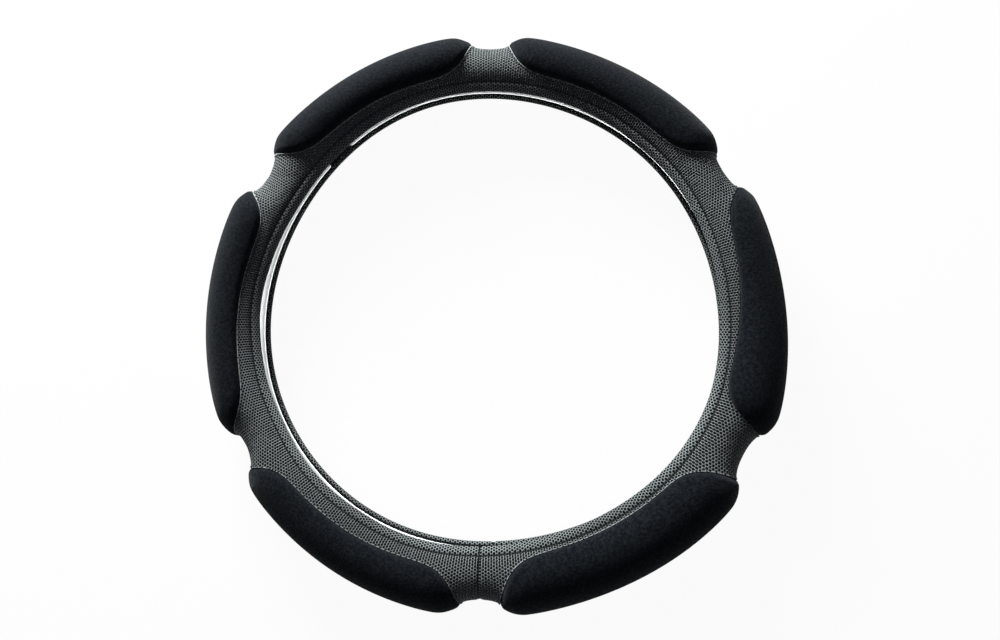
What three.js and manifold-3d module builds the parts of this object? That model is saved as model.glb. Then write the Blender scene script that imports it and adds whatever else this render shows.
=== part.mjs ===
// Steering wheel cover: a soft sleeve for the rim of a wheel, lying flat on its back.
// A white rubber ring of C section grips the rim. A strip of mesh laminate is closed round it,
// and six velour panels over foam pads are sewn into windows in the mesh.
// Millimetres and degrees, +Z up; the origin is the ring's centre on the surface it lies on,
// and +Y is twelve o'clock on the wheel.
import * as THREE from 'three';
import { ParametricGeometry } from 'three/addons/geometries/ParametricGeometry.js';
import { mergeVertices } from 'three/addons/utils/BufferGeometryUtils.js';
import Module from 'manifold-3d';

// Driving dimensions of the wheel rim that the cover fits
const rimRadius = 172;        // wheel centre to the middle of the rim
const gripDiameter = 30;      // thickness of the rim

// The rubber ring and the mesh strip round it
const rubberWall = 1.2;
const meshWall = 2;
const mouthAngle = 34;        // from the line to the wheel centre to each lip
const rubberSetback = 4;      // degrees that the rubber ends short of the lip
const hemWidth = 6.5;         // from the lip to the hem's stitching, along the surface
const hemPuff = 0.8;          // how far the folded hem stands over the plain mesh
const stitchDip = 0.9;        // how deep the stitching pulls the mesh in
const stitchDipWidth = 2.4;

// The padded panels
const padCount = 6;
const padGap = 28;            // bare mesh between two panels, at the outermost line
const padWidth = 68.5;        // across the section, seam to seam
const padEndLength = 31;      // length of each rounded end
const padLift = 0.8;          // height of a panel's edge over the plain mesh
const padBulge = 9.2;         // height of a panel's middle over its edge
const padFullness = 0.65;     // power of the crown: smaller is squarer
const padRolls = [-1, 7, 6, -3, -13, 5];  // degrees that each panel sits forward of the middle
const restFlat = 0.9;         // how far the flattest-lying panel is pressed in by its own weight
const velourWall = 1;
const meshRise = 1.5;         // how far the mesh is drawn up at a panel's seam
const meshRiseLength = 6;

// Sewing thread and clearances
const threadDiameter = 0.6;
const seamThreadDiameter = 0.5;
const clearance = 0.3;
const padSeat = 1.5;          // room between the rubber and the faceted back of a pad

// How finely the curved faces are divided
const anglesPerPad = 8;
const rubberSteps = 10;
const meshSteps = 14;
const padSideSteps = 4;
const padEndSteps = 8;
const padLevels = [0, 0.3, 0.55, 0.78, 1];
const windowWallSteps = 2;

const degrees = THREE.MathUtils.radToDeg;
const radians = THREE.MathUtils.degToRad;
const rubberInner = gripDiameter / 2;
const rubberOuter = rubberInner + rubberWall;
const meshInner = rubberOuter + clearance;
const meshOuter = meshInner + meshWall;
const meshMiddle = (meshInner + meshOuter) / 2;
const lipAngle = 180 - mouthAngle;
const rubberLip = lipAngle - rubberSetback;
const stitchAngle = lipAngle - degrees(hemWidth / meshOuter) + degrees(hemPuff / meshOuter);

const padPitch = 360 / padCount;
const gapAngle = degrees(padGap / (rimRadius + meshOuter));
const padHalfSpan = (padPitch - gapAngle) / 2;
const padEndAngle = degrees(padEndLength / (rimRadius + meshOuter));
const padSideSpan = padHalfSpan - padEndAngle;
const padHalfWidth = degrees(padWidth / 2 / meshOuter);
const padEdge = meshOuter + padLift;
const seamHalf = (seamThreadDiameter / 2 + clearance) / (padWidth / 2);

const wasm = await Module();
wasm.setup();

// Gauge of a place near a panel: 0 on the panel's middle line, 1 on its seam, more outside
function padGauge(along, across) {
  const past = Math.max(0, Math.abs(along) - padSideSpan) / padEndAngle;
  return Math.hypot(past, across / padHalfWidth);
}

// Radius of a panel's crowned surface about the rim's middle line
function crown(gauge) {
  return padEdge + padBulge * Math.pow(Math.max(0, 1 - gauge * gauge), padFullness);
}

// How far a panel is rolled forward, held so that its seam stays short of the hem's stitching
function rollOf(pad) {
  const stitching = degrees((stitchDipWidth / 2 + threadDiameter + clearance) / meshOuter);
  const room = Math.max(0, stitchAngle - stitching - padHalfWidth);
  return THREE.MathUtils.clamp(padRolls[pad % padRolls.length], -room, room);
}

// How far a panel would reach under the rim's middle line if nothing pressed on it
function padDepth(pad) {
  let depth = 0;
  for (let across = -padHalfWidth; across <= 0; across += 1) {
    const angle = radians(across + rollOf(pad));
    depth = Math.max(depth, -Math.sin(angle) * crown(padGauge(0, across)));
  }
  return depth;
}

const padNumbers = Array.from({ length: padCount }, (_, pad) => pad);
const rimHeight = Math.min(...padNumbers.map(padDepth)) - restFlat;

// A place given by the angle round the wheel, the angle round the rim and the radius about the rim
function place(around, section, radius, target = new THREE.Vector3()) {
  const out = rimRadius + radius * Math.cos(radians(section));
  const height = rimHeight + radius * Math.sin(radians(section));
  return target.set(out * Math.cos(radians(around)), out * Math.sin(radians(around)), height);
}

// A closed, outward-facing surface with its shared corners merged and its empty triangles dropped
function closed(geometry) {
  geometry.deleteAttribute('normal');
  geometry.deleteAttribute('uv');
  const merged = mergeVertices(geometry, 1e-3);
  const from = merged.index.array;
  const corners = [];
  for (let i = 0; i < from.length; i += 3) {
    const [a, b, c] = [from[i], from[i + 1], from[i + 2]];
    if (a !== b && b !== c && c !== a) corners.push(a, b, c);
  }
  const at = (i) => new THREE.Vector3().fromBufferAttribute(merged.attributes.position, i);
  let volume = 0;
  for (let i = 0; i < corners.length; i += 3) {
    volume += at(corners[i]).dot(at(corners[i + 1]).cross(at(corners[i + 2])));
  }
  if (volume < 0) corners.reverse();
  merged.setIndex(corners);
  return merged;
}

// The same surface as a solid for joins and cuts, and back again
function solid(geometry) {
  const vertProperties = new Float32Array(geometry.attributes.position.array);
  const triVerts = new Uint32Array(geometry.index.array);
  return new wasm.Manifold(new wasm.Mesh({ numProp: 3, vertProperties, triVerts }));
}

function surface(manifold) {
  const mesh = manifold.getMesh();
  const geometry = new THREE.BufferGeometry();
  geometry.setAttribute('position', new THREE.BufferAttribute(mesh.vertProperties, 3));
  geometry.setIndex(new THREE.BufferAttribute(mesh.triVerts, 1));
  return geometry;
}

function box(width, depth, height, x, y, z) {
  return solid(closed(new THREE.BoxGeometry(width, depth, height).translate(x, y, z)));
}

// Everything over a level, to press the underside of a pad flat
function above(level) {
  const size = 4 * rimRadius;
  return box(size, size, size, 0, 0, level + size / 2);
}

// Even steps from -limit to limit
function span(limit, steps) {
  return Array.from({ length: steps + 1 }, (_, i) => -limit + (2 * limit * i) / steps);
}

// Angles round the wheel: each panel's length in even steps, and the middle of each gap
function wheelAngles() {
  const angles = [];
  for (const pad of padNumbers) {
    const side = span(padHalfSpan, anglesPerPad - 2);
    angles.push(...side.map((step) => pad * padPitch + step), (pad + 0.5) * padPitch);
  }
  return angles;
}

// A ring swept round the wheel; the section is a list of [section angle, radius] for each angle
function sweptRing(sectionAt) {
  const rows = wheelAngles().map((around) => sectionAt(around).map(([s, r]) => place(around, s, r)));
  const count = rows[0].length;
  const corner = (u, v, target) => {
    const row = rows[Math.round(u * rows.length) % rows.length];
    target.copy(row[Math.round(v * count) % count]);
  };
  return closed(new ParametricGeometry(corner, rows.length, count));
}

// Points of a half circle from the outer face to the inner face at one lip
function lipRound(angle, inner, outer, points) {
  const middle = (inner + outer) / 2;
  const half = (outer - inner) / 2;
  return Array.from({ length: points }, (_, i) => {
    const turn = (Math.PI * (i + 1)) / (points + 1);
    const ahead = degrees((half * Math.sin(turn)) / middle);
    return [angle + Math.sign(angle) * ahead, middle + half * Math.cos(turn)];
  });
}

// The rubber ring: one moulded C section
function rubberRing() {
  const outer = span(rubberLip, rubberSteps).map((s) => [s, rubberOuter]);
  const inner = span(rubberLip, rubberSteps).map((s) => [s, rubberInner]).reverse();
  const front = lipRound(rubberLip, rubberInner, rubberOuter, 1);
  const back = lipRound(-rubberLip, rubberInner, rubberOuter, 1);
  return sweptRing(() => [...outer, ...front, ...inner, ...back]);
}

// Outer radius of the mesh: drawn up at the panels, pulled in at the stitching, full at the hem
function meshSurface(around, section) {
  const side = Math.abs(section);
  const toStitch = Math.abs(side - stitchAngle);
  const dipAngle = degrees(stitchDipWidth / 2 / meshOuter);
  const dip = stitchDip * Math.max(0, 1 - toStitch / dipAngle);
  const inHem = THREE.MathUtils.smoothstep(side, stitchAngle, stitchAngle + dipAngle);
  const pad = Math.round(around / padPitch);
  const gauge = padGauge(around - pad * padPitch, section - rollOf(pad));
  const away = Math.max(0, gauge - 1) * (padWidth / 2);
  const free = 1 - THREE.MathUtils.smoothstep(side, stitchAngle - 3 * dipAngle, stitchAngle - dipAngle);
  const rise = meshRise * Math.exp(-away / meshRiseLength) * free;
  return meshOuter + rise - dip + hemPuff * inHem;
}

// The mesh strip before its windows: outer face, front lip, inner face, back lip
function meshTube() {
  const dipAngle = degrees(stitchDipWidth / 2 / meshOuter);
  const stitches = [-dipAngle, 0, dipAngle].flatMap((d) => [stitchAngle + d, -stitchAngle + d]);
  const plain = span(lipAngle, meshSteps).filter((s) => Math.abs(Math.abs(s) - stitchAngle) > 1.2 * dipAngle);
  const outerAngles = [...plain, ...stitches].sort((a, b) => a - b);
  const inner = span(rubberLip, rubberSteps).map((s) => [s, meshInner]).reverse();
  return sweptRing((around) => {
    const outer = outerAngles.map((s) => [s, meshSurface(around, s)]);
    const front = lipRound(lipAngle, meshInner, meshSurface(around, lipAngle), 2);
    const back = lipRound(-lipAngle, meshInner, meshSurface(around, -lipAngle), 2).reverse();
    return [...outer, ...front, [lipAngle, meshInner], ...inner, [-lipAngle, meshInner], ...back];
  });
}

// The outline of a panel at one gauge: two long sides and two rounded ends
function padOutline(gauge) {
  const end = Array.from({ length: padEndSteps }, (_, i) => {
    const turn = Math.PI * (i / padEndSteps - 0.5);
    const along = padSideSpan + padEndAngle * gauge * Math.cos(turn);
    return [along, padHalfWidth * gauge * Math.sin(turn)];
  });
  const side = Array.from({ length: padSideSteps }, (_, i) => {
    return [padSideSpan - (2 * padSideSpan * i) / padSideSteps, padHalfWidth * gauge];
  });
  const half = [...end, ...side];
  return [...half, ...half.map(([along, across]) => [-along, -across])];
}

// A closed body on one panel's outline, from a base radius up to a surface
function padBody(pad, edgeGauge, base, surfaceAt, wallSteps = 1) {
  const levels = padLevels.map((level) => level * edgeGauge);
  const top = surfaceAt(1);
  const wall = Array.from({ length: wallSteps - 1 }, (_, i) => {
    return [edgeGauge, top + ((base - top) * (i + 1)) / wallSteps];
  });
  const stack = [
    ...levels.map((gauge) => [gauge, surfaceAt(gauge / edgeGauge)]),
    ...wall,
    ...levels.map((gauge) => [gauge, base]).reverse(),
  ];
  const count = padOutline(1).length;
  const corner = (u, v, target) => {
    const [gauge, radius] = stack[Math.round(v * (stack.length - 1))];
    const [along, across] = padOutline(gauge)[Math.round(u * count) % count];
    place(pad * padPitch + along, across + rollOf(pad), radius, target);
  };
  return solid(closed(new ParametricGeometry(corner, count, stack.length - 1)));
}

const padBase = rubberOuter + padSeat;
const velourEdge = 1 - seamHalf;
const velourInnerEdge = velourEdge - velourWall / (padWidth / 2);
const foamEdge = velourInnerEdge - clearance / (padWidth / 2);

// The mesh strip with its six windows, closed into a ring by one open seam at six o'clock
function meshSleeve() {
  let strip = solid(meshTube());
  const windowTop = () => meshOuter + 2 * meshRise;
  for (const pad of padNumbers) {
    strip = strip.subtract(padBody(pad, 1 + seamHalf, rubberInner, windowTop, windowWallSteps));
  }
  const slit = threadDiameter + 2 * clearance;
  const reach = 2 * (meshOuter + padBulge);
  return surface(strip.subtract(box(slit, reach, reach, 0, -rimRadius, rimHeight)));
}

// A velour panel with its edges turned in along the seam, pressed flat where it lies
function velourPanel(pad) {
  const outside = padBody(pad, velourEdge, padBase, crown).intersect(above(0));
  const crownInside = (gauge) => crown(gauge) - velourWall;
  const inside = padBody(pad, velourInnerEdge, rubberInner, crownInside).intersect(above(velourWall));
  return surface(outside.subtract(inside));
}

// The foam under a panel
function foamPad(pad) {
  const crownFoam = (gauge) => crown(gauge) - velourWall - clearance;
  const body = padBody(pad, foamEdge, padBase, crownFoam);
  return surface(body.intersect(above(velourWall + clearance)));
}

// The thread of one hem, lying in the dip that it pulls
function hemThread(side) {
  const radius = threadDiameter / 2;
  const depth = meshOuter - stitchDip + clearance + radius;
  const width = degrees(radius / depth);
  return sweptRing(() => [
    [side * stitchAngle - width, depth],
    [side * stitchAngle, depth - radius],
    [side * stitchAngle + width, depth],
    [side * stitchAngle, depth + radius],
  ]);
}

// The thread at the bottom of one panel's seam
function seamThread(pad) {
  const radius = seamThreadDiameter / 2;
  const narrow = radius / (padWidth / 2);
  const section = [[1 - narrow, meshOuter], [1 + narrow, meshOuter], [1, meshOuter + 2 * radius]];
  const count = padOutline(1).length;
  const corner = (u, v, target) => {
    const [gauge, height] = section[Math.round(v * section.length) % section.length];
    const [along, across] = padOutline(gauge)[Math.round(u * count) % count];
    place(pad * padPitch + along, across + rollOf(pad), height, target);
  };
  return closed(new ParametricGeometry(corner, count, section.length));
}

// The thread that closes the strip's two ends, inside the open seam at six o'clock
class ClosingSeam extends THREE.Curve {
  getPoint(t, target = new THREE.Vector3()) {
    const reach = stitchAngle - degrees((stitchDipWidth + threadDiameter) / meshMiddle);
    return place(-90, -reach + 2 * reach * t, meshMiddle, target);
  }
}

function closingThread() {
  const radius = threadDiameter / 2;
  const section = new THREE.Shape([[0, 1], [1, 0], [0, -1], [-1, 0]].map(
    ([x, y]) => new THREE.Vector2(x * radius, y * radius)));
  const path = new ClosingSeam();
  return closed(new THREE.ExtrudeGeometry(section, { steps: meshSteps, extrudePath: path }));
}

const meshCloth = { color: 0x3d4143, roughness: 0.85, metalness: 0 };
const velour = { color: 0x101216, roughness: 0.95, metalness: 0 };
const rubber = { color: 0xdfe3e1, roughness: 0.5, metalness: 0 };
const foam = { color: 0x54565a, roughness: 1, metalness: 0 };
const thread = { color: 0x08090b, roughness: 0.7, metalness: 0 };

const group = new THREE.Group();

function add(name, geometry, finish) {
  const mesh = new THREE.Mesh(geometry, new THREE.MeshStandardMaterial(finish));
  mesh.name = name;
  group.add(mesh);
}

add('inner_ring', rubberRing(), rubber);
add('mesh_sleeve', meshSleeve(), meshCloth);
for (const pad of padNumbers) {
  add(`velour_panel_${pad + 1}`, velourPanel(pad), velour);
  add(`foam_pad_${pad + 1}`, foamPad(pad), foam);
  add(`panel_seam_thread_${pad + 1}`, seamThread(pad), thread);
}
add('front_hem_thread', hemThread(1), thread);
add('rear_hem_thread', hemThread(-1), thread);
add('closing_seam_thread', closingThread(), thread);

export default group;
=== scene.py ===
import math

import bmesh
import bpy
from mathutils import Matrix, Vector


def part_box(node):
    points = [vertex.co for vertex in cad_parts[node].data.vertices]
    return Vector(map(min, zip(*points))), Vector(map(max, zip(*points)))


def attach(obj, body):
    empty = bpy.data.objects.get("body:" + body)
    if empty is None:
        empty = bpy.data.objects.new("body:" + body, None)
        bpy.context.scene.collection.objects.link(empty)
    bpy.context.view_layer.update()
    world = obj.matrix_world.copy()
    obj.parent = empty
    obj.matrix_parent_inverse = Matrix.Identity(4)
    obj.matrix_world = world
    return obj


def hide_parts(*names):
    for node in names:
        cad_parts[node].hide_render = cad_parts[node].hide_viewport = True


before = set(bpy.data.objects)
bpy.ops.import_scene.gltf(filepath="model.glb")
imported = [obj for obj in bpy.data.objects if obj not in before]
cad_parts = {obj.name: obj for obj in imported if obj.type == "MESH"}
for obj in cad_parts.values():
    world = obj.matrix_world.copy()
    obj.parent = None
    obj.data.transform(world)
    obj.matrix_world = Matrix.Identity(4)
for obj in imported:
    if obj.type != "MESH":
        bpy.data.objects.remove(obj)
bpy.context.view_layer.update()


# The rubber ring that grips the wheel's rim: one white moulding of C section, open towards the
# wheel's centre. It is the pale band that shows between the cover's two lips.
RIM_RADIUS = 0.172            # wheel centre to the middle of the rim
RUBBER_INNER = 0.015          # the rim's own radius
RUBBER_OUTER = 0.0162
RUBBER_LIP = 142              # degrees round the section from its outermost line
RUBBER_STEPS = 36
RUBBER_COLUMNS = 360
LIP_STEPS = 5
LIP_ANGLE = 146               # where the mesh turns under at each lip
LIP_SWAY_START = 85           # from here the lips begin to stand out on their own
# Out of round: (waves in one turn, millimetres, degrees of the first crest)
TUBE_SWAY = ((0, -0.4, 0), (1, 0.5, -61), (2, 1.4, -58), (3, 1.5, -22), (4, 0.7, -35), (5, 0.6, -33))
FRONT_LIP_SWAY = ((0, 0.5, 0), (1, 0.7, -131), (2, 1.9, 38), (4, 0.6, 5))
REAR_LIP_SWAY = ((0, 3.1, 0), (1, 1.05, 66), (2, 0.6, 21), (3, 0.6, -30), (4, 0.5, 13))
# Where the front lip is pulled out or in by hand: (degrees round the wheel, half width, millimetres)
FRONT_LIP_PULLS = (
    (46, 9, -1.0), (60, 7, -0.3), (120, 7, 0.5), (150, 9, -0.8),
    (180, 9, 1.1), (210, 7, -0.9), (240, 7, -0.7))
ring_low, ring_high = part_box("inner_ring")
RIM_HEIGHT = (ring_low[2] + ring_high[2]) / 2


def smooth_share(value, low, high):
    """0 up to low, 1 from high on, and a soft rise between."""
    share = min(1, max(0, (value - low) / (high - low)))
    return share * share * (3 - 2 * share)


def degrees_from(around, middle):
    """Degrees round the wheel from a middle, -180 to 180."""
    return (around - middle + 180) % 360 - 180


def waves(around, parts):
    return sum(size * math.cos(math.radians(count * (around - crest))) for count, size, crest in parts)


def sway(around, section):
    """How far the soft ring stands out from true round here, in metres."""
    out = waves(around, TUBE_SWAY)
    lip = smooth_share(abs(section), LIP_SWAY_START, LIP_ANGLE)
    if lip > 0 and section > 0:
        out += lip * waves(around, FRONT_LIP_SWAY)
        for middle, reach, size in FRONT_LIP_PULLS:
            out += lip * size * math.exp(-(degrees_from(around, middle) / reach) ** 2)
    elif lip > 0:
        out += lip * waves(around, REAR_LIP_SWAY)
    return out * 0.001


def place(around, section, radius):
    """A point by its angles round the wheel and round the rim, and its distance from the rim's middle."""
    turn = math.radians(around)
    tilt = math.radians(section)
    out = RIM_RADIUS + radius * math.cos(tilt) + sway(around, section)
    return Vector((out * math.cos(turn), out * math.sin(turn), RIM_HEIGHT + radius * math.sin(tilt)))


def arc(start, end, radius, steps):
    return [(start + (end - start) * i / steps, radius) for i in range(steps + 1)]


def half_round(angle, inner, outer, steps):
    """Section points round one lip, from the outer face to the inner face."""
    middle = (inner + outer) / 2
    half = (outer - inner) / 2
    points = []
    for i in range(1, steps):
        turn = math.pi * i / steps
        ahead = math.degrees(half * math.sin(turn) / middle)
        points.append((angle + math.copysign(ahead, angle), middle + half * math.cos(turn)))
    return points


def finish_piece(name, bm, material, slot_name, *nodes):
    """Makes the mesh an object that rides on the part and stands for these nodes."""
    mesh = bpy.data.meshes.new(name)
    bm.to_mesh(mesh)
    bm.free()
    mesh.shade_smooth()
    piece = bpy.data.objects.new(name, mesh)
    bpy.context.scene.collection.objects.link(piece)
    piece.data.materials.append(material)
    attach(piece, "root")
    if nodes:
        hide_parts(*nodes)
    return piece


def new_material(name, color, roughness, specular):
    """A material with its shader set, and the shader's nodes to build on."""
    material = bpy.data.materials.new(name)
    material.use_nodes = True
    nodes = material.node_tree.nodes
    shader = nodes["Principled BSDF"]
    shader.inputs["Base Color"].default_value = (*color, 1)
    shader.inputs["Roughness"].default_value = roughness
    shader.inputs["Specular IOR Level"].default_value = specular
    return material, nodes, material.node_tree.links, shader


def object_noise(nodes, links, scale, detail=3):
    """A noise on the piece's own coordinates, per metre."""
    where = nodes.new("ShaderNodeTexCoord")
    grain = nodes.new("ShaderNodeTexNoise")
    grain.inputs["Scale"].default_value = scale
    grain.inputs["Detail"].default_value = detail
    links.new(where.outputs["Object"], grain.inputs["Vector"])
    return grain.outputs["Fac"]


def add_bump(nodes, links, shader, height, strength, distance):
    bump = nodes.new("ShaderNodeBump")
    bump.inputs["Strength"].default_value = strength
    bump.inputs["Distance"].default_value = distance
    links.new(height, bump.inputs["Height"])
    links.new(bump.outputs["Normal"], shader.inputs["Normal"])


def color_ramp(nodes, links, value, *stops):
    """A blend through (position, colour) stops."""
    ramp = nodes.new("ShaderNodeValToRGB")
    blend = ramp.color_ramp.elements
    for i, (position, color) in enumerate(stops):
        stop = blend[i] if i < len(blend) else blend.new(position)
        stop.position = position
        stop.color = (*color, 1)
    links.new(value, ramp.inputs["Fac"])
    return ramp.outputs["Color"]


def rubber_material():
    material, nodes, links, shader = new_material("white_rubber", (0.88, 0.9, 0.89), 0.4, 0.5)
    clouds = object_noise(nodes, links, 60)
    tint = color_ramp(nodes, links, clouds, (0.35, (0.84, 0.87, 0.86)), (0.65, (0.92, 0.93, 0.93)))
    links.new(tint, shader.inputs["Base Color"])
    grain = object_noise(nodes, links, 900, 4)
    add_bump(nodes, links, shader, grain, 0.2, 0.0002)
    return material


def swept_ring(section, columns):
    """A closed section carried all the way round the wheel."""
    bm = bmesh.new()
    bmesh.ops.create_grid(bm, x_segments=columns, y_segments=len(section), size=0.5)
    for vert in bm.verts:
        column = round((vert.co.x + 0.5) * columns)
        row = round((vert.co.y + 0.5) * len(section)) % len(section)
        vert.co = place(360 * column / columns, *section[row])
    bmesh.ops.remove_doubles(bm, verts=bm.verts, dist=1e-5)
    bmesh.ops.recalc_face_normals(bm, faces=bm.faces)
    return bm


def rubber_ring():
    section = arc(-RUBBER_LIP, RUBBER_LIP, RUBBER_OUTER, RUBBER_STEPS)
    section += half_round(RUBBER_LIP, RUBBER_INNER, RUBBER_OUTER, LIP_STEPS)
    section += arc(RUBBER_LIP, -RUBBER_LIP, RUBBER_INNER, RUBBER_STEPS)
    section += half_round(-RUBBER_LIP, RUBBER_INNER, RUBBER_OUTER, LIP_STEPS)[::-1]
    bm = swept_ring(section, RUBBER_COLUMNS)
    return finish_piece("rubber_ring", bm, rubber_material(), "white_rubber", "inner_ring")


rubber = rubber_ring()


# The mesh sleeve: one strip of dark grey knitted mesh on a thin foam backing, with six windows
# for the panels. It is turned under at both lips, and closed into a ring at six o'clock.
PAD_COUNT = 6
PAD_PITCH = 360 / PAD_COUNT
PAD_HALF_WIDTH = 106.07       # degrees round the section
PAD_HALF_SPANS = (25.9, 26.2, 25.7, 27.4, 25.8, 25.8)      # degrees round the wheel
PAD_SHIFTS = (0.6, -0.3, -1.0, 0.7, 0.6, -0.3)             # degrees off their even places
PAD_ROLLS = (-0.5, -0.7, 3.2, -9.6, -8.0, 12.4)            # degrees round the section
PAD_TWISTS = (-0.93, 0.02, -0.14, -0.39, 0.21, 0.11)       # degrees of roll for each degree along
TWIST_REACH = 30              # degrees from a panel's middle, where its twist stops growing
END_POWER = 8                 # the windows' sides run nearly straight
SIDE_POWER = 1.6              # and their ends come to a soft point
NEIGHBOUR_ANGLE = 24          # degrees from a panel's middle, where the next seam may be the nearer
MESH_OUTER = 0.0185
TUCK_INNER = 0.0156
TUCK_LENGTH = 0.0006
HEM_PUFF = 0.0009             # the hem swells between its stitches and the lip
STITCH_ANGLE = 128.35
STITCH_DIP = 0.0012
STITCH_DIP_WIDTH = 0.0009
STITCH_PITCH = 0.0034
MESH_RISE = 0.0013            # the mesh climbs towards a seam
MESH_RISE_LENGTH = 0.005
TIP_RISE = 0.0018             # and further at a panel's end
TIP_RISE_LENGTH = 0.0035
TIP_RISE_SIDES = (35, 85)     # degrees round the section, between which that fades out
WAIST_PINCH = (-0.0002, -0.0002, 0.0021, 0.0012, 0.0003, 0.0014)
WAIST_PINCH_SPAN = (1, 6)     # degrees from a waist's middle, between which its pinch fades out
WAIST_PINCH_SIDES = (70, 125)
FOLD_ANGLE = 133.5            # where the rear lip's tuck is folded up over the rubber
FOLD_SPAN = 7.5
FOLD_SOFTNESS = 0.7
FOLD_REACH = 34               # degrees round the section
FOLD_INSET = 0.001
CLOSING_ANGLE = -90
CLOSING_SLANT = 0.008         # the closing seam leans this far by the rear lip
CLOSING_SLANT_LENGTH = 0.042  # on the way there from the strip's middle
CLOSING_GAP = 0.00003         # from the closing seam to each end of the strip
CLOSING_DIP = 0.0007
CLOSING_DIP_WIDTH = 0.0013
CLOSING_TURNS = (-0.0006, -0.0017)     # depths of the strip's ends, turned in
CLOSING_FAR = 0.01            # distances from the closing seam are kept up to here
SEAM_FAR = 0.1                # stands for a place that no panel's seam reaches
MESH_COLUMNS = 1080
MESH_ROWS = 112
FOLD_ROOM = 0.0002            # from a seam's middle line to the folded edge
FOLD_DEPTH = 0.0026           # the seam allowance hangs this far inside, clear of the rubber
BEAD_WIDTH = 0.0007
BEAD_HEIGHT = 0.0006
BEAD_HIGHLIGHTS = (0.12, 0.8, 1, 0.85, 0.5, 0.6)      # painted highlight on each panel's folded edge, panel by panel as the key light falls; partly the pale backing
PUCKER_PITCH = 0.0044
PULL_START = 0.0012           # from a seam, where the mesh begins to be drawn tight
PULL_FULL = 0.003


def pad_place(pad, around, section):
    """Degrees from the middle of a panel, along it and across it."""
    along = degrees_from(around - pad * PAD_PITCH, PAD_SHIFTS[pad])
    twist = PAD_TWISTS[pad] * max(-TWIST_REACH, min(TWIST_REACH, along))
    return along, section - PAD_ROLLS[pad] - twist


def pad_gauge(pad, around, section):
    """0 in the middle of a panel, 1 on its seam, more outside."""
    along, across = pad_place(pad, around, section)
    by_end = (abs(along) / PAD_HALF_SPANS[pad]) ** END_POWER
    by_side = (abs(across) / PAD_HALF_WIDTH) ** SIDE_POWER
    return (by_end + by_side) ** (1 / SIDE_POWER)


def gauge_slopes(pad, around, section):
    """The gauge here, and how fast it grows along and across, for each metre."""
    here = pad_gauge(pad, around, section)
    step = 0.05
    slope_x = (pad_gauge(pad, around + step, section) - here) / (math.radians(step) * RIM_RADIUS)
    slope_y = (pad_gauge(pad, around, section + step) - here) / (math.radians(step) * MESH_OUTER)
    return here, slope_x, slope_y


def seam_distance(pad, around, section):
    """Metres from a panel's seam, about; less than 0 on the panel."""
    here, slope_x, slope_y = gauge_slopes(pad, around, section)
    return (here - 1) / max(1e-6, math.hypot(slope_x, slope_y))


def tip_rise(section, away):
    """How far the cloth is lifted near a panel's end."""
    near_middle = 1 - smooth_share(abs(section), *TIP_RISE_SIDES)
    return TIP_RISE * math.exp(-abs(away) / TIP_RISE_LENGTH) * near_middle


def mesh_radius(around, section, away):
    """Outer face of the mesh about the rim's middle line."""
    side = abs(section)
    past_stitch = math.radians(side - STITCH_ANGLE) * MESH_OUTER
    along = math.radians(around) * RIM_RADIUS
    pull = 0.75 + 0.25 * math.cos(2 * math.pi * along / STITCH_PITCH)
    dip = STITCH_DIP * pull * math.exp(-(past_stitch / STITCH_DIP_WIDTH) ** 2)
    hem = max(0, past_stitch) / math.radians(LIP_ANGLE - STITCH_ANGLE) / MESH_OUTER
    puff = HEM_PUFF * min(1, hem * 2.5) ** 0.6
    free = 1 - smooth_share(side, STITCH_ANGLE - 12, STITCH_ANGLE - 2)
    away = max(0, away)
    rise = MESH_RISE * math.exp(-away / MESH_RISE_LENGTH) * free + tip_rise(section, away)
    gap = math.floor(around / PAD_PITCH) % PAD_COUNT
    to_middle = abs(degrees_from(around, (gap + 0.5) * PAD_PITCH))
    pinch = WAIST_PINCH[gap] * (1 - smooth_share(to_middle, *WAIST_PINCH_SPAN))
    pinch *= 1 - smooth_share(side, *WAIST_PINCH_SIDES)
    return MESH_OUTER + rise - dip + puff - pinch


def mesh_stations():
    """Flat lengths of half the strip: its outer face, and the round of the lip."""
    outer = math.radians(LIP_ANGLE) * MESH_OUTER
    lip = math.pi * (MESH_OUTER + HEM_PUFF - TUCK_INNER) / 2
    return outer, lip


def closing_angle(across):
    """Degrees round the wheel of the closing seam, which leans towards the rear lip."""
    lean = CLOSING_SLANT * smooth_share(-across, 0, CLOSING_SLANT_LENGTH)
    return CLOSING_ANGLE + math.degrees(lean / RIM_RADIUS)


def from_closing(around, across):
    """Metres from the closing seam."""
    return math.radians(degrees_from(around, closing_angle(across))) * RIM_RADIUS


def mesh_point(around, across, lift, away):
    """The strip's flat position across, in metres from its middle, taken round the section."""
    outer, lip = mesh_stations()
    side = math.copysign(1, across)
    reach = abs(across)
    fold = 0
    if side < 0:
        from_fold = abs(degrees_from(around, FOLD_ANGLE))
        fold = 1 - smooth_share(from_fold, FOLD_SPAN / 2 - FOLD_SOFTNESS, FOLD_SPAN / 2 + FOLD_SOFTNESS)
    inner = TUCK_INNER - FOLD_INSET * fold
    if reach <= outer:
        section = math.degrees(across / MESH_OUTER)
        radius = mesh_radius(around, section, away) + lift
    elif reach <= outer + lip:
        outside = mesh_radius(around, side * LIP_ANGLE, away)
        turn = math.pi * (reach - outer) / lip
        half = (outside - inner) / 2
        middle = (outside + inner) / 2
        section = side * (LIP_ANGLE + math.degrees(half * math.sin(turn) / middle))
        radius = middle + half * math.cos(turn) + lift
    else:
        share = (reach - outer - lip) / TUCK_LENGTH
        section = side * (LIP_ANGLE - share * (math.degrees(TUCK_LENGTH / inner) + FOLD_REACH * fold))
        radius = inner
    groove = CLOSING_DIP * math.exp(-(from_closing(around, across) / CLOSING_DIP_WIDTH) ** 2)
    return place(around, section, radius - groove)


def flat_angles(vert):
    """A flat vertex's degrees round the wheel and round the section."""
    return math.degrees(vert.co.x / RIM_RADIUS), math.degrees(vert.co.y / MESH_OUTER)


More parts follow.
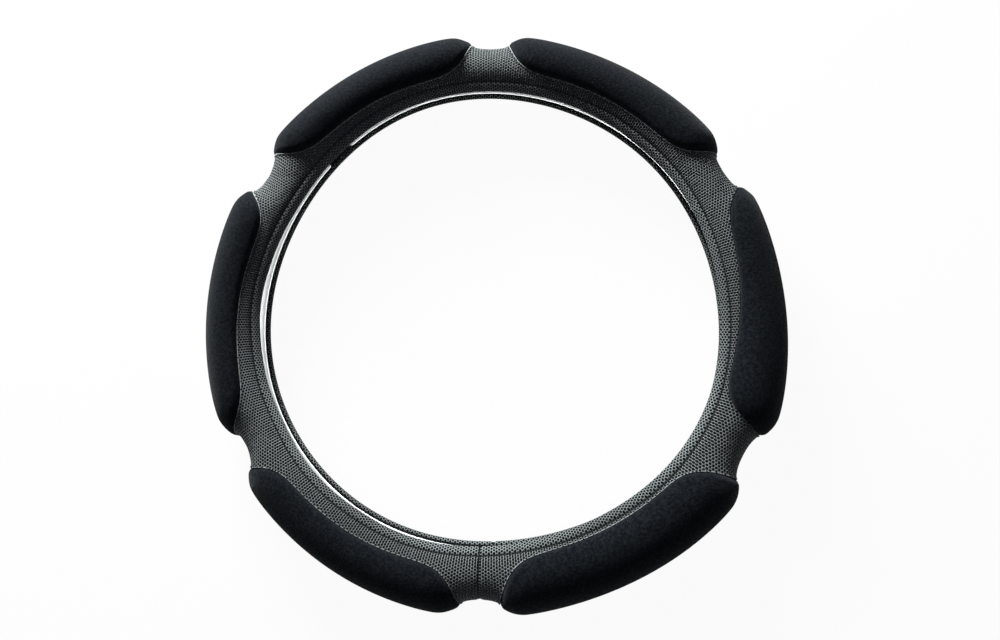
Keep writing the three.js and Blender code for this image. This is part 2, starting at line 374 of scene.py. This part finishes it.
def snap_to_seam(vert, pad, distance):
    """Slides a flat vertex, x round the wheel and y across the strip, to one distance from a seam."""
    for _ in range(4):
        here, slope_x, slope_y = gauge_slopes(pad, *flat_angles(vert))
        steep = math.hypot(slope_x, slope_y)
        if steep < 1e-6:
            return
        move = (here - 1) / steep - distance
        vert.co.x -= move * slope_x / steep
        vert.co.y -= move * slope_y / steep


def added(out, kind):
    """What an extrusion has added, of one kind."""
    return [g for g in out["geom"] if isinstance(g, kind)]


def fold_in(bm, edges, pad, steps, away=None, edge=None, closing=None):
    """Carries an edge on by flat steps of (distance from the seam, height, share of the painted highlight on
    the folded edge).
    """
    for distance, height, share in steps:
        out = bmesh.ops.extrude_edge_only(bm, edges=edges)
        edges = added(out, bmesh.types.BMEdge)
        for vert in added(out, bmesh.types.BMVert):
            snap_to_seam(vert, pad, distance)
            vert.co.z = height
            if edge is not None:
                along, _ = pad_place(pad, *flat_angles(vert))
                run = vert.co.x if abs(along) < 0.85 * PAD_HALF_SPANS[pad] else vert.co.y
                crest = 0.5 + 0.5 * math.cos(2 * math.pi * run / PUCKER_PITCH)
                vert.co.z = height * (0.85 + 0.15 * crest) if height > 0 else height
                vert[closing] = CLOSING_FAR
                # Painted highlight: the folded edge is painted pale, more on each pucker's crest.
                vert[edge] = share * BEAD_HIGHLIGHTS[pad] * (0.7 + 0.3 * min(1, 2 * crest))
                vert[away] = distance


def mesh_material():
    """Knitted mesh: round holes on a triangular lattice, each in a raised ring of yarn."""
    material, nodes, links, shader = new_material("mesh_cloth", (0.12, 0.14, 0.14), 0.7, 0.1)
    row = 0.00207
    column = row * math.sqrt(3)

    def calc(kind, *values):
        node = nodes.new("ShaderNodeMath")
        node.operation = kind
        for socket, value in zip(node.inputs, values):
            if isinstance(value, (int, float)):
                socket.default_value = value
            else:
                links.new(value, socket)
        return node.outputs["Value"]

    def attribute(name):
        node = nodes.new("ShaderNodeAttribute")
        node.attribute_name = name
        return node.outputs["Fac"]

    def ease(value, low, high):
        node = nodes.new("ShaderNodeMapRange")
        node.interpolation_type = "SMOOTHSTEP"
        node.inputs["From Min"].default_value = low
        node.inputs["From Max"].default_value = high
        links.new(value, node.inputs["Value"])
        return node.outputs["Result"]

    def blend(share, first, second):
        node = nodes.new("ShaderNodeMix")
        node.data_type = "RGBA"
        links.new(share, node.inputs["Factor"])
        for socket, value in zip(("A", "B"), (first, second)):
            if isinstance(value, tuple):
                node.inputs[socket].default_value = (*value, 1)
            else:
                links.new(value, node.inputs[socket])
        return node.outputs["Result"]

    flat = nodes.new("ShaderNodeUVMap")
    flat.uv_map = "flat"
    split = nodes.new("ShaderNodeSeparateXYZ")
    links.new(flat.outputs["UV"], split.inputs["Vector"])
    pull = attribute("pull")
    edge = attribute("edge")
    squeeze = calc("ADD", 1, calc("MULTIPLY", pull, 0.1))
    relax = calc("SUBTRACT", 1, calc("MULTIPLY", pull, 0.16))

    def lattice(shift):
        x = calc("WRAP", calc("ADD", split.outputs["X"], shift * column / 2), column / 2, -column / 2)
        y = calc("WRAP", calc("ADD", split.outputs["Y"], shift * row / 2), row / 2, -row / 2)
        x = calc("MULTIPLY", x, squeeze)
        y = calc("MULTIPLY", y, relax)
        return calc("SQRT", calc("ADD", calc("MULTIPLY", x, x), calc("MULTIPLY", y, y)))

    # Painted shade: dark lines in the grooves of the hem's row of stitches and of the closing seam, and
    # darkness round the turn of each lip and under it.
    outer, lip = mesh_stations()
    reach = calc("ABSOLUTE", split.outputs["Y"])
    from_stitch = calc("SUBTRACT", reach, math.radians(STITCH_ANGLE) * MESH_OUTER)
    needle = calc("WRAP", split.outputs["X"], STITCH_PITCH / 2, -STITCH_PITCH / 2)
    stitched = calc("SUBTRACT", 1, ease(calc("ABSOLUTE", from_stitch), 0.00025, 0.0006))
    stitched = calc("MULTIPLY", stitched, calc("ADD", 0.75, calc("MULTIPLY", calc("ABSOLUTE", needle), 140)))
    closed = calc("SUBTRACT", 1, ease(attribute("closing"), 0.0004, 0.0008))
    front = ease(split.outputs["Y"], outer + 0.14 * lip, outer + 0.42 * lip)
    both = ease(reach, outer + 0.55 * lip, outer + 0.75 * lip)
    turned = calc("MULTIPLY", calc("MAXIMUM", front, both), 0.92)
    crease_shade = calc("MINIMUM", 0.97, calc("MAXIMUM", calc("MAXIMUM", stitched, closed), turned))

    distance = calc("MINIMUM", lattice(0), lattice(1))
    hem = calc("MULTIPLY", ease(from_stitch, 0.0004, 0.0014), 0.00005)
    hole_edge = calc("ADD", calc("ADD", distance, calc("MULTIPLY", edge, 0.001)), hem)
    solid = ease(hole_edge, 0.0008, 0.00095)
    groove = ease(distance, 0.00095, 0.0012)
    yarn = object_noise(nodes, links, 1400, 2)
    height = calc("SUBTRACT", solid, calc("MULTIPLY", groove, 0.4))
    height = calc("ADD", height, calc("MULTIPLY", yarn, 0.3))
    shade = color_ramp(nodes, links, yarn, (0.3, (0.35, 0.4, 0.41)), (0.7, (0.6, 0.67, 0.68)))
    # Painted shade: beside each panel the mesh is darkened, as in the shade of the raised panel; over the
    # waists it is left paler.
    panel_shade = calc("COSINE", calc("MULTIPLY", split.outputs["X"], PAD_COUNT / RIM_RADIUS))
    shade = blend(calc("ADD", 0.17, calc("MULTIPLY", panel_shade, 0.17)), shade, (0.01, 0.012, 0.014))
    # Painted shade darkens a fine line beside each panel's seam, in its groove. The folded edge is painted
    # pale: partly its pale backing, partly a painted highlight where the fold catches the light.
    seam_shade = calc("MULTIPLY", 0.45, calc("SUBTRACT", 1, ease(attribute("away"), 0.0011, 0.0024)))
    shade = blend(seam_shade, shade, (0.004, 0.005, 0.006))
    shade = blend(edge, shade, (0.64, 0.7, 0.72))
    # The holes are painted near black: partly the dark backing seen through them, partly painted shade deep
    # in each pit.
    shade = blend(solid, (0.001, 0.0015, 0.002), shade)
    shade = blend(crease_shade, shade, (0.004, 0.005, 0.006))
    links.new(shade, shader.inputs["Base Color"])
    add_bump(nodes, links, shader, height, 0.9, 0.0007)
    return material


def mesh_sleeve():
    outer, lip = mesh_stations()
    half_strip = outer + lip + TUCK_LENGTH
    half_length = math.pi * RIM_RADIUS
    middle = math.radians(CLOSING_ANGLE + 180) * RIM_RADIUS
    bm = bmesh.new()
    bmesh.ops.create_grid(bm, x_segments=MESH_COLUMNS, y_segments=MESH_ROWS, size=1)
    ends = [e for e in bm.edges if e.is_boundary and all(abs(v.co.x) > 0.999999 for v in e.verts)]
    for vert in bm.verts:
        vert.co.y *= half_strip
        lean = math.radians(closing_angle(vert.co.y) - CLOSING_ANGLE) * RIM_RADIUS * vert.co.x ** 8
        vert.co.x = middle + vert.co.x * (half_length - CLOSING_GAP) + lean
    edge_highlight = bm.verts.layers.float.new("edge")
    pull_share = bm.verts.layers.float.new("pull")
    closing_away = bm.verts.layers.float.new("closing")
    seam_away = bm.verts.layers.float.new("away")
    bead = FOLD_ROOM + BEAD_WIDTH
    inside = [set() for _ in range(PAD_COUNT)]
    for vert in bm.verts:
        around, section = flat_angles(vert)
        vert[closing_away] = min(CLOSING_FAR, abs(from_closing(around, vert.co.y)))
        vert[seam_away] = SEAM_FAR
        if abs(section) > STITCH_ANGLE:
            continue
        pad = round(around / PAD_PITCH) % PAD_COUNT
        along = degrees_from(around, pad * PAD_PITCH)
        away = seam_distance(pad, around, section)
        if abs(along) > NEIGHBOUR_ANGLE:
            neighbour = (pad + (1 if along > 0 else -1)) % PAD_COUNT
            away = min(away, seam_distance(neighbour, around, section))
        vert[seam_away] = away
        if away < bead:
            inside[pad].add(vert)
        span = (STITCH_ANGLE - abs(section)) / (STITCH_ANGLE - PAD_HALF_WIDTH)
        beside_panel = smooth_share(span, 0, 0.2) * (1 - smooth_share(span, 0.8, 1.3))
        vert[pull_share] = smooth_share(away, PULL_START, PULL_FULL) * beside_panel
    for pad in range(PAD_COUNT):
        faces = [f for f in bm.faces if all(v in inside[pad] for v in f.verts)]
        bmesh.ops.delete(bm, geom=faces, context="FACES")
        edges = [e for e in bm.edges if e.is_boundary and all(v in inside[pad] for v in e.verts)]
        for vert in {v for e in edges for v in e.verts}:
            snap_to_seam(vert, pad, bead)
        over_bead = (
            (bead - 0.0002, BEAD_HEIGHT * 0.7, 0.5), (bead - 0.0005, BEAD_HEIGHT, 1),
            (FOLD_ROOM, BEAD_HEIGHT * 0.3, 1))
        inwards = ((FOLD_ROOM - 0.0001, -0.0005, 0), (FOLD_ROOM, -FOLD_DEPTH, 0))
        fold_in(bm, edges, pad, over_bead + inwards, seam_away, edge_highlight, closing_away)
    for depth in CLOSING_TURNS:
        out = bmesh.ops.extrude_edge_only(bm, edges=ends)
        ends = added(out, bmesh.types.BMEdge)
        for vert in added(out, bmesh.types.BMVert):
            vert.co.z = depth
    flat = bm.loops.layers.uv.new("flat")
    for face in bm.faces:
        for loop in face.loops:
            loop[flat].uv = loop.vert.co.xy
    for vert in bm.verts:
        vert.co = mesh_point(math.degrees(vert.co.x / RIM_RADIUS), vert.co.y, vert.co.z, vert[seam_away])
    bmesh.ops.recalc_face_normals(bm, faces=bm.faces)
    return finish_piece("mesh_sleeve_cloth", bm, mesh_material(), "mesh_cloth", "mesh_sleeve")


sleeve = mesh_sleeve()


# The six velour panels: short black pile, sewn edge to edge into the windows and blown up by the
# foam behind them. The cloth is let out under pressure with its seam held, so it settles softly.
PANEL_LIFT = 0.0006
PANEL_BULGE = 0.0086
PANEL_END_FILL = 0.22         # the foam is packed tighter towards a panel's ends
PANEL_END_DROP = 0.2          # and rounds off at the very end
PANEL_END_START = 0.82        # share of the half span where that begins
PANEL_ROUNDNESS = 2.8
PANEL_FULLNESS = 0.37
PANEL_GRID = 0.0024
PANEL_MARGIN = 0.004          # the uncut cloth reaches this far past a panel's ends
PANEL_ROLL_MARGIN = 28        # and this many degrees past its sides
PANEL_RINGS = (-0.0024, -0.0013)       # rows of the cloth that run along the seam
SETTLE_FRAMES = 20
SETTLE_LIMIT = 0.001          # no point of the cloth moves further
SETTLE_HOLD = 0.0008          # from the seam, up to where the cloth is held
SETTLE_FREE = 0.008           # and from where it is free
SETTLE_ROUNDS = 12


def panel_radius(pad, around, section):
    """Outer face of a panel about the rim's middle line."""
    gauge = min(1, pad_gauge(pad, around, section))
    crown = (1 - gauge ** PANEL_ROUNDNESS) ** PANEL_FULLNESS
    share = abs(pad_place(pad, around, section)[0]) / PAD_HALF_SPANS[pad]
    drop = PANEL_END_DROP * smooth_share(share, PANEL_END_START, 1)
    fill = (1 + PANEL_END_FILL * share ** 2) * (1 - drop)
    rise = tip_rise(section, seam_distance(pad, around, section))
    return MESH_OUTER + PANEL_LIFT + max(PANEL_BULGE * fill * crown, rise)


def velour_material():
    material, nodes, links, shader = new_material("black_velour", (0.007, 0.01, 0.014), 0.95, 0.05)
    shader.inputs["Sheen Weight"].default_value = 0.12
    shader.inputs["Sheen Roughness"].default_value = 0.4
    shader.inputs["Sheen Tint"].default_value = (0.75, 0.8, 0.85, 1)
    nap = object_noise(nodes, links, 600, 6)
    tint = color_ramp(
        nodes, links, nap,
        (0.36, (0.0045, 0.006, 0.0085)), (0.5, (0.0095, 0.0122, 0.016)), (0.66, (0.0175, 0.021, 0.0255)))
    links.new(tint, shader.inputs["Base Color"])
    pile = object_noise(nodes, links, 1300, 4)
    add_bump(nodes, links, shader, pile, 0.7, 0.0008)
    return material


def panel_grid(pad, distance, spacing):
    """A flat sheet cut to a panel's outline, x round the wheel and y across."""
    half_x = math.radians(PAD_HALF_SPANS[pad]) * RIM_RADIUS + PANEL_MARGIN
    half_y = math.radians(PAD_HALF_WIDTH + PANEL_ROLL_MARGIN) * MESH_OUTER
    bm = bmesh.new()
    bmesh.ops.create_grid(
        bm, x_segments=round(2 * half_x / spacing), y_segments=round(2 * half_y / spacing), size=1)
    for vert in bm.verts:
        vert.co.x = math.radians(pad * PAD_PITCH + PAD_SHIFTS[pad]) * RIM_RADIUS + vert.co.x * half_x
        vert.co.y = math.radians(PAD_ROLLS[pad]) * MESH_OUTER + vert.co.y * half_y
    outside = {v for v in bm.verts if seam_distance(pad, *flat_angles(v)) > distance}
    faces = [f for f in bm.faces if any(v in outside for v in f.verts)]
    bmesh.ops.delete(bm, geom=faces, context="FACES")
    for vert in {v for e in bm.edges if e.is_boundary for v in e.verts}:
        snap_to_seam(vert, pad, distance)
    return bm


def raise_panel(bm, pad, shrink):
    """Takes a flat sheet up to a panel's face, less a shrink, and lays it on the floor below."""
    for vert in bm.verts:
        around, section = flat_angles(vert)
        vert.co = place(around, section, panel_radius(pad, around, section) - shrink + vert.co.z)
        vert.co.z = max(vert.co.z, shrink)


def velour_panel(pad, material):
    bm = panel_grid(pad, PANEL_RINGS[0], PANEL_GRID)
    rim = [e for e in bm.edges if e.is_boundary]
    to_seam = ((PANEL_RINGS[1], 0, 0), (-FOLD_ROOM, 0, 0))
    inwards = ((-FOLD_ROOM + 0.0001, -0.0006, 0), (-FOLD_ROOM, -FOLD_DEPTH, 0))
    fold_in(bm, rim, pad, to_seam + inwards)
    from_seam = [-seam_distance(pad, *flat_angles(v)) for v in bm.verts]
    free = [smooth_share(distance, SETTLE_HOLD, SETTLE_FREE) for distance in from_seam]
    raise_panel(bm, pad, 0)
    bmesh.ops.recalc_face_normals(bm, faces=bm.faces)
    name = f"velour_panel_{pad + 1}"
    piece = finish_piece(f"{name}_cloth", bm, material, "black_velour", name)
    held = [i for i, share in enumerate(free) if share == 0]
    piece.vertex_groups.new(name="seam").add(held, 1, "REPLACE")
    return piece, free


def even_out(mesh, moves, rounds):
    """Spreads each point's move over its neighbours, so that no ripple is left."""
    for _ in range(rounds):
        total = [move.copy() for move in moves]
        count = [1] * len(moves)
        for edge in mesh.edges:
            a, b = edge.vertices
            total[a] += moves[b]
            total[b] += moves[a]
            count[a] += 1
            count[b] += 1
        moves = [move / number for move, number in zip(total, count)]
    return moves


def settle(panels):
    """Lets the panels out under light pressure with their seams pinned, and keeps the result."""
    for piece, _ in panels:
        cloth = piece.modifiers.new("settle", "CLOTH")
        cloth.settings.quality = 5
        cloth.settings.mass = 0.15
        cloth.settings.tension_stiffness = 10
        cloth.settings.compression_stiffness = 10
        cloth.settings.bending_stiffness = 0.1
        cloth.settings.use_pressure = True
        cloth.settings.uniform_pressure_force = 4
        cloth.settings.vertex_group_mass = "seam"
        cloth.settings.effector_weights.gravity = 0
        cloth.point_cache.frame_end = SETTLE_FRAMES
    for step in range(1, SETTLE_FRAMES + 1):
        bpy.context.scene.frame_set(step)
    graph = bpy.context.evaluated_depsgraph_get()
    for piece, free in panels:
        after = piece.evaluated_get(graph).data.vertices
        moves = [late.co - vert.co for late, vert in zip(after, piece.data.vertices)]
        for move in moves:
            if move.length > SETTLE_LIMIT:
                move.length = SETTLE_LIMIT
        moves = even_out(piece.data, moves, SETTLE_ROUNDS)
        for vert, move, share in zip(piece.data.vertices, moves, free):
            vert.co += move * share
            vert.co.z = max(vert.co.z, 0)
    for piece, _ in panels:
        piece.modifiers.clear()
    bpy.context.scene.frame_set(1)


velour = velour_material()
panels = [velour_panel(pad, velour) for pad in range(PAD_COUNT)]
settle(panels)
for panel, _ in panels:
    soft = panel.modifiers.new("round", "SUBSURF")
    soft.levels = 1
    soft.render_levels = 1


# The foam pads: cut from soft grey sheet, one behind each panel, filling it from the rubber up.
FOAM_GRID = 0.006
FOAM_SHRINK = 0.0018          # from the velour in to the foam
FOAM_EDGE = 0.0022            # from the seam in to the foam's edge
FOAM_CLEARANCE = 0.0006       # from the rubber out to the foam


def foam_material():
    material, nodes, links, shader = new_material("grey_foam", (0.1, 0.1, 0.11), 1, 0.1)
    cells = object_noise(nodes, links, 1200, 2)
    tint = color_ramp(nodes, links, cells, (0.35, (0.05, 0.05, 0.055)), (0.65, (0.16, 0.16, 0.17)))
    links.new(tint, shader.inputs["Base Color"])
    add_bump(nodes, links, shader, cells, 0.5, 0.0005)
    return material


def foam_pad(pad, material):
    bm = panel_grid(pad, -FOAM_EDGE, FOAM_GRID)
    out = bmesh.ops.extrude_face_region(bm, geom=list(bm.faces))
    for vert in added(out, bmesh.types.BMVert):
        vert.co.z = RUBBER_OUTER + FOAM_CLEARANCE - panel_radius(pad, *flat_angles(vert)) + FOAM_SHRINK
    raise_panel(bm, pad, FOAM_SHRINK)
    bmesh.ops.recalc_face_normals(bm, faces=bm.faces)
    name = f"foam_pad_{pad + 1}"
    piece = finish_piece(f"{name}_core", bm, material, "grey_foam", name)


foam = foam_material()
for pad in range(PAD_COUNT):
    foam_pad(pad, foam)


# Sewing thread: black polyester. It runs deep in the seam round each panel, in single stitches
# along both hems, and in short stitches across the closing seam.
THREAD_RADIUS = 0.0003
STITCH_ENDS = (0.06, 0.94)    # needle holes of a hem stitch, as shares of the pitch
SEAM_LIFT = 0.0002            # from the mesh's plain face out to the thread in a panel's seam
SEAM_STITCHES = 150
CLOSING_PITCH = 0.003
CLOSING_HALF_STITCH = 0.0007
CLOSING_DEPTH = 0.0012
CLOSING_CLEAR = 8             # degrees from a hem's stitches, where the closing stitches end


def thread_material():
    material, nodes, links, shader = new_material("black_thread", (0.008, 0.009, 0.01), 0.6, 0.3)
    twist = object_noise(nodes, links, 2500, 2)
    tint = color_ramp(nodes, links, twist, (0.35, (0.003, 0.003, 0.004)), (0.65, (0.014, 0.015, 0.017)))
    links.new(tint, shader.inputs["Base Color"])
    add_bump(nodes, links, shader, twist, 0.4, 0.0002)
    return material


def add_stitch(bm, start, end):
    """One stitch: a small bead drawn out between two needle holes."""
    out = bmesh.ops.create_uvsphere(bm, u_segments=6, v_segments=5, radius=1)
    turn = (end - start).to_track_quat("Z", "Y").to_matrix().to_4x4()
    size = Matrix.Diagonal((THREAD_RADIUS, THREAD_RADIUS, (end - start).length / 2, 1))
    bmesh.ops.transform(bm, matrix=Matrix.Translation((start + end) / 2) @ turn @ size, verts=out["verts"])


def hem_stitches(name, side, material):
    bm = bmesh.new()
    count = round(2 * math.pi * RIM_RADIUS / STITCH_PITCH)
    section = side * STITCH_ANGLE
    for i in range(count):
        ends = []
        for share in STITCH_ENDS:
            around = 360 * (i + share) / count
            ends.append(place(around, section, mesh_radius(around, section, SEAM_FAR) + 0.0001))
        add_stitch(bm, *ends)
    finish_piece(f"{name}_stitches", bm, material, "black_thread", name)


def seam_thread(pad, material):
    name = f"panel_seam_thread_{pad + 1}"
    bm = bmesh.new()
    points = []
    for i in range(SEAM_STITCHES):
        turn = 2 * math.pi * i / SEAM_STITCHES
        along = math.copysign(abs(math.cos(turn)) ** 0.5, math.cos(turn)) * PAD_HALF_SPANS[pad]
        across = math.copysign(abs(math.sin(turn)) ** 1.25, math.sin(turn)) * PAD_HALF_WIDTH
        around = pad * PAD_PITCH + PAD_SHIFTS[pad] + along
        section = PAD_ROLLS[pad] + PAD_TWISTS[pad] * along + across
        probe = bm.verts.new((math.radians(around) * RIM_RADIUS, math.radians(section) * MESH_OUTER, 0))
        snap_to_seam(probe, pad, 0)
        points.append(place(*flat_angles(probe), MESH_OUTER + SEAM_LIFT))
        bm.verts.remove(probe)
    for start, end in zip(points, points[1:] + points[:1]):
        add_stitch(bm, start, end)
    finish_piece(f"{name}_stitches", bm, material, "black_thread", name)


def closing_stitches(material):
    bm = bmesh.new()
    pitch = math.degrees(CLOSING_PITCH / MESH_OUTER)
    half = math.degrees(CLOSING_HALF_STITCH / RIM_RADIUS)
    count = int(2 * (STITCH_ANGLE - CLOSING_CLEAR) / pitch)
    for i in range(count + 1):
        section = (i - count / 2) * pitch
        middle = closing_angle(math.radians(section) * MESH_OUTER)
        start = place(middle - half, section, MESH_OUTER - CLOSING_DEPTH)
        end = place(middle + half, section + pitch / 2, MESH_OUTER - CLOSING_DEPTH)
        add_stitch(bm, start, end)
    finish_piece("closing_seam_stitches", bm, material, "black_thread", "closing_seam_thread")


thread = thread_material()
hem_stitches("front_hem_thread", 1, thread)
hem_stitches("rear_hem_thread", -1, thread)
for pad in range(PAD_COUNT):
    seam_thread(pad, thread)
closing_stitches(thread)


# The studio: a white floor that keeps the cover's shadow, a white surround, one broad lamp low
# beyond the top of the ring, a weak one over it, a small one for the rubber alone, and the
# camera at the photograph's place.
RING_MIDDLE = Vector((0, 0, RIM_HEIGHT))
FLOOR_HALF = 3
FLOOR_DROP = 0.0001           # the floor lies just under the pads
FLOOR_GLOW = 1.08
FLOOR_GLOW_SHARE = 0.88       # the rest of the floor's face is paper, which shows the shadow
SURROUND_LIGHT = 0.018
CAMERA_DISTANCE = 0.45
CAMERA_VIEW = (0.0951, -0.1710, 0.9807)         # from the ring's middle towards the camera
CAMERA_UP = (0.0, 0.9851, 0.1718)
CAMERA_SHIFT = (0.0148, -0.0122)
SENSOR_WIDTH = 36
LENS = SENSOR_WIDTH * 0.651


def background_rays(nodes, links):
    """1 for the rays that show the background: the camera's, and mirrored or refracted ones."""
    path = nodes.new("ShaderNodeLightPath")
    seen = path.outputs["Is Camera Ray"]
    for kind in ("Is Glossy Ray", "Is Transmission Ray"):
        either = nodes.new("ShaderNodeMath")
        either.operation = "MAXIMUM"
        links.new(seen, either.inputs[0])
        links.new(path.outputs[kind], either.inputs[1])
        seen = either.outputs["Value"]
    return seen


def floor():
    bm = bmesh.new()
    bmesh.ops.create_grid(bm, x_segments=1, y_segments=1, size=FLOOR_HALF)
    bmesh.ops.translate(bm, verts=bm.verts, vec=(0, 0, -FLOOR_DROP))
    mesh = bpy.data.meshes.new("floor")
    bm.to_mesh(mesh)
    bm.free()
    material = bpy.data.materials.new("white_floor")
    material.use_nodes = True
    nodes = material.node_tree.nodes
    links = material.node_tree.links
    nodes.clear()
    paper = nodes.new("ShaderNodeBsdfDiffuse")
    paper.inputs["Color"].default_value = (0.5, 0.5, 0.5, 1)
    glow = nodes.new("ShaderNodeEmission")
    glow.inputs["Strength"].default_value = FLOOR_GLOW
    share = nodes.new("ShaderNodeMath")
    share.operation = "MULTIPLY"
    share.inputs[1].default_value = FLOOR_GLOW_SHARE
    links.new(background_rays(nodes, links), share.inputs[0])
    mix = nodes.new("ShaderNodeMixShader")
    out = nodes.new("ShaderNodeOutputMaterial")
    links.new(share.outputs["Value"], mix.inputs["Fac"])
    links.new(paper.outputs["BSDF"], mix.inputs[1])
    links.new(glow.outputs["Emission"], mix.inputs[2])
    links.new(mix.outputs["Shader"], out.inputs["Surface"])
    plane = bpy.data.objects.new("floor", mesh)
    plane.data.materials.append(material)
    bpy.context.scene.collection.objects.link(plane)


def surround():
    world = bpy.data.worlds.new("surround")
    bpy.context.scene.world = world
    world.use_nodes = True
    nodes = world.node_tree.nodes
    links = world.node_tree.links
    nodes.clear()
    soft = nodes.new("ShaderNodeBackground")
    soft.inputs["Color"].default_value = (0.92, 0.96, 1, 1)
    soft.inputs["Strength"].default_value = SURROUND_LIGHT
    white = nodes.new("ShaderNodeBackground")
    white.inputs["Color"].default_value = (0.985, 0.985, 0.985, 1)
    white.inputs["Strength"].default_value = 1
    mix = nodes.new("ShaderNodeMixShader")
    out = nodes.new("ShaderNodeOutputWorld")
    links.new(background_rays(nodes, links), mix.inputs["Fac"])
    links.new(soft.outputs["Background"], mix.inputs[1])
    links.new(white.outputs["Background"], mix.inputs[2])
    links.new(mix.outputs["Shader"], out.inputs["Surface"])


def lamp(name, place_at, size, power, color):
    data = bpy.data.lights.new(name, "AREA")
    data.shape = "DISK"
    data.size = size
    data.energy = power
    data.color = color
    light = bpy.data.objects.new(name, data)
    light.location = place_at
    light.rotation_euler = (RING_MIDDLE - Vector(place_at)).to_track_quat("-Z", "Y").to_euler()
    bpy.context.scene.collection.objects.link(light)
    return light


def camera():
    view = Vector(CAMERA_VIEW).normalized()
    up = Vector(CAMERA_UP)
    up = (up - up.dot(view) * view).normalized()
    right = up.cross(view)
    data = bpy.data.cameras.new("camera")
    data.sensor_width = SENSOR_WIDTH
    data.lens = LENS
    data.shift_x, data.shift_y = CAMERA_SHIFT
    data.clip_start = 0.01
    rig = bpy.data.objects.new("camera", data)
    turn = Matrix((right, up, view)).transposed().to_4x4()
    rig.matrix_world = Matrix.Translation(RING_MIDDLE + CAMERA_DISTANCE * view) @ turn
    bpy.context.scene.collection.objects.link(rig)
    bpy.context.scene.camera = rig


floor()
surround()
lamp("key", (-0.52, 1.2, 0.48), 0.6, 40, (1, 1, 0.98))
lamp("front", (0.1, -0.15, 1.0), 0.4, 0.2, (0.95, 0.98, 1))
in_channel = bpy.data.collections.new("in_channel")
in_channel.objects.link(rubber)
channel_lamp = lamp("channel", (0.03, -0.05, 0.32), 0.08, 2.3, (1, 1, 1))
channel_lamp.light_linking.receiver_collection = in_channel
channel_lamp.visible_camera = False
camera()
bpy.context.scene.view_settings.view_transform = "Standard"
